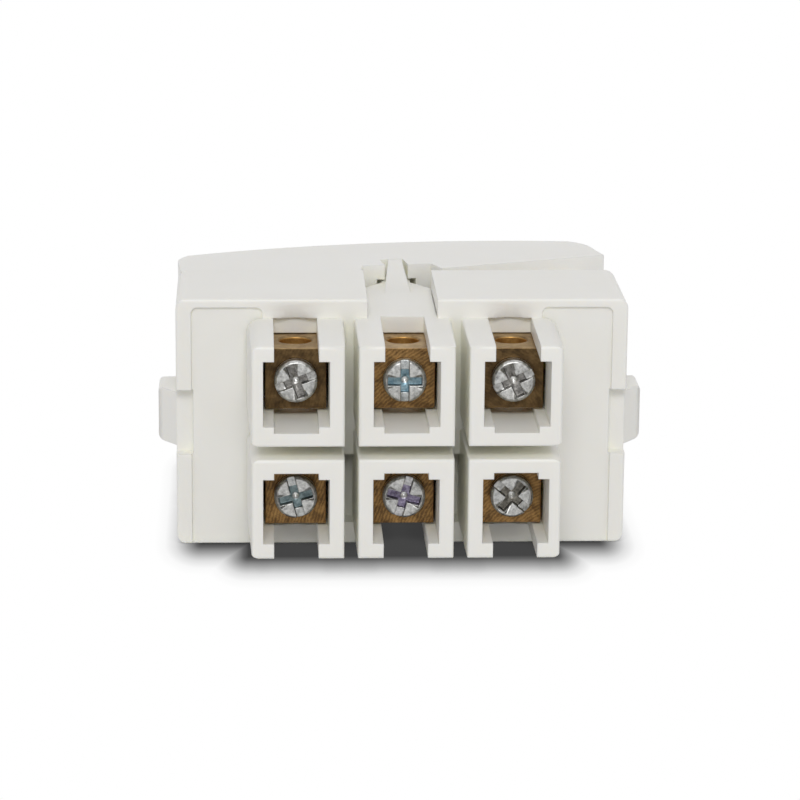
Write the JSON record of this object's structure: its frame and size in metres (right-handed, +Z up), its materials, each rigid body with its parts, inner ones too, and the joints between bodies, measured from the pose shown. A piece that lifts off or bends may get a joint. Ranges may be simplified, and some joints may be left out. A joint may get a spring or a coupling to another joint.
{
  "type": "rocker switch module",
  "caption": "White modular rocker switch mechanism with screw terminals in insulating towers at its back, snap ears at its ends and a double-pole change-over seesaw contact inside.",
  "frame": {"origin": "under the middle of the whole object, on the lower long side that it stands on, with the rocker at rest", "axes": "+X along the module, to the right when looking at the terminals; +Y from the terminals to the rocker; +Z up, across the module's width"},
  "size_m": [0.0462, 0.0384, 0.0239],
  "materials": {
    "housing_plastic": "moulded, fine satin",
    "rocker_plastic": "moulded, satin gloss",
    "terminal_brass": "sawn and tumbled brass, slightly tarnished",
    "screw_zinc": "bright zinc plate",
    "contact_brass": "stamped brass",
    "contact_silver": "silver contact",
    "plunger_plastic": "moulded acetal",
    "spring_steel": "drawn spring wire"
  },
  "bodies": {
    "housing": {"housing": "housing_plastic", "terminal_block_lower_left": "terminal_brass", "terminal_block_lower_centre": "terminal_brass", "terminal_block_lower_right": "terminal_brass", "terminal_block_upper_left": "terminal_brass", "terminal_block_upper_centre": "terminal_brass", "terminal_block_upper_right": "terminal_brass", "fixed_contact_lower_left": "contact_brass", "fixed_contact_lower_right": "contact_brass", "fixed_contact_upper_left": "contact_brass", "fixed_contact_upper_right": "contact_brass", "fixed_rivet_lower_left": "contact_silver", "fixed_rivet_lower_right": "contact_silver", "fixed_rivet_upper_left": "contact_silver", "fixed_rivet_upper_right": "contact_silver", "saddle_lower": "contact_brass", "saddle_upper": "contact_brass"},
    "rocker": {"rocker": "rocker_plastic", "spring_lower": "spring_steel", "spring_upper": "spring_steel"},
    "seesaw_lower": {"seesaw_bar_lower": "contact_brass", "moving_rivet_lower_left": "contact_silver", "moving_rivet_lower_right": "contact_silver"},
    "seesaw_upper": {"seesaw_bar_upper": "contact_brass", "moving_rivet_upper_left": "contact_silver", "moving_rivet_upper_right": "contact_silver"},
    "plunger_lower": {"plunger_lower": "plunger_plastic"},
    "plunger_upper": {"plunger_upper": "plunger_plastic"},
    "screw_lower_left": {"terminal_screw_lower_left": "screw_zinc"},
    "screw_lower_centre": {"terminal_screw_lower_centre": "screw_zinc"},
    "screw_lower_right": {"terminal_screw_lower_right": "screw_zinc"},
    "screw_upper_left": {"terminal_screw_upper_left": "screw_zinc"},
    "screw_upper_centre": {"terminal_screw_upper_centre": "screw_zinc"},
    "screw_upper_right": {"terminal_screw_upper_right": "screw_zinc"}
  },
  "joints": [
    {"name": "rocker_tip", "type": "hinge", "parent": "housing", "child": "rocker", "pos_m": [0, 0.00816, 0.01195], "axis": [0, 0, 1], "range_deg": [-19.6, 0]},
    {"name": "seesaw_tip_lower", "type": "hinge", "parent": "housing", "child": "seesaw_lower", "pos_m": [0, -0.00288, 0.0066], "axis": [0, 0, 1], "range_deg": [0, 22]},
    {"name": "seesaw_tip_upper", "type": "hinge", "parent": "housing", "child": "seesaw_upper", "pos_m": [0, -0.00288, 0.0173], "axis": [0, 0, 1], "range_deg": [0, 22]},
    {"name": "plunger_slide_lower", "type": "slide", "parent": "rocker", "child": "plunger_lower", "axis": [0.1702, -0.9854, 0], "range_m": [-0.001, 0.00025], "stiffness_N_per_m": 800, "springref_m": 0.00025, "deforming": ["spring_lower"]},
    {"name": "plunger_slide_upper", "type": "slide", "parent": "rocker", "child": "plunger_upper", "axis": [0.1702, -0.9854, 0], "range_m": [-0.001, 0.00025], "stiffness_N_per_m": 800, "springref_m": 0.00025, "deforming": ["spring_upper"]},
    {"name": "screw_turn_lower_left", "type": "hinge", "parent": "housing", "child": "screw_lower_left", "pos_m": [-0.0101, -0.01439, 0.00637], "axis": [0, 1, 0], "range_deg": [0, 1260]},
    {"name": "screw_turn_lower_centre", "type": "hinge", "parent": "housing", "child": "screw_lower_centre", "pos_m": [0, -0.01439, 0.00637], "axis": [0, 1, 0], "range_deg": [0, 1260]},
    {"name": "screw_turn_lower_right", "type": "hinge", "parent": "housing", "child": "screw_lower_right", "pos_m": [0.0101, -0.01439, 0.00637], "axis": [0, 1, 0], "range_deg": [0, 1260]},
    {"name": "screw_turn_upper_left", "type": "hinge", "parent": "housing", "child": "screw_upper_left", "pos_m": [-0.0101, -0.01439, 0.01752], "axis": [0, 1, 0], "range_deg": [0, 1260]},
    {"name": "screw_turn_upper_centre", "type": "hinge", "parent": "housing", "child": "screw_upper_centre", "pos_m": [0, -0.01439, 0.01752], "axis": [0, 1, 0], "range_deg": [0, 1260]},
    {"name": "screw_turn_upper_right", "type": "hinge", "parent": "housing", "child": "screw_upper_right", "pos_m": [0.0101, -0.01439, 0.01752], "axis": [0, 1, 0], "range_deg": [0, 1260]}
  ],
  "couplings": [
    {"joint": "seesaw_tip_lower", "follows": "rocker_tip", "ratio": -1.1224},
    {"joint": "seesaw_tip_upper", "follows": "rocker_tip", "ratio": -1.1224}
  ]
}
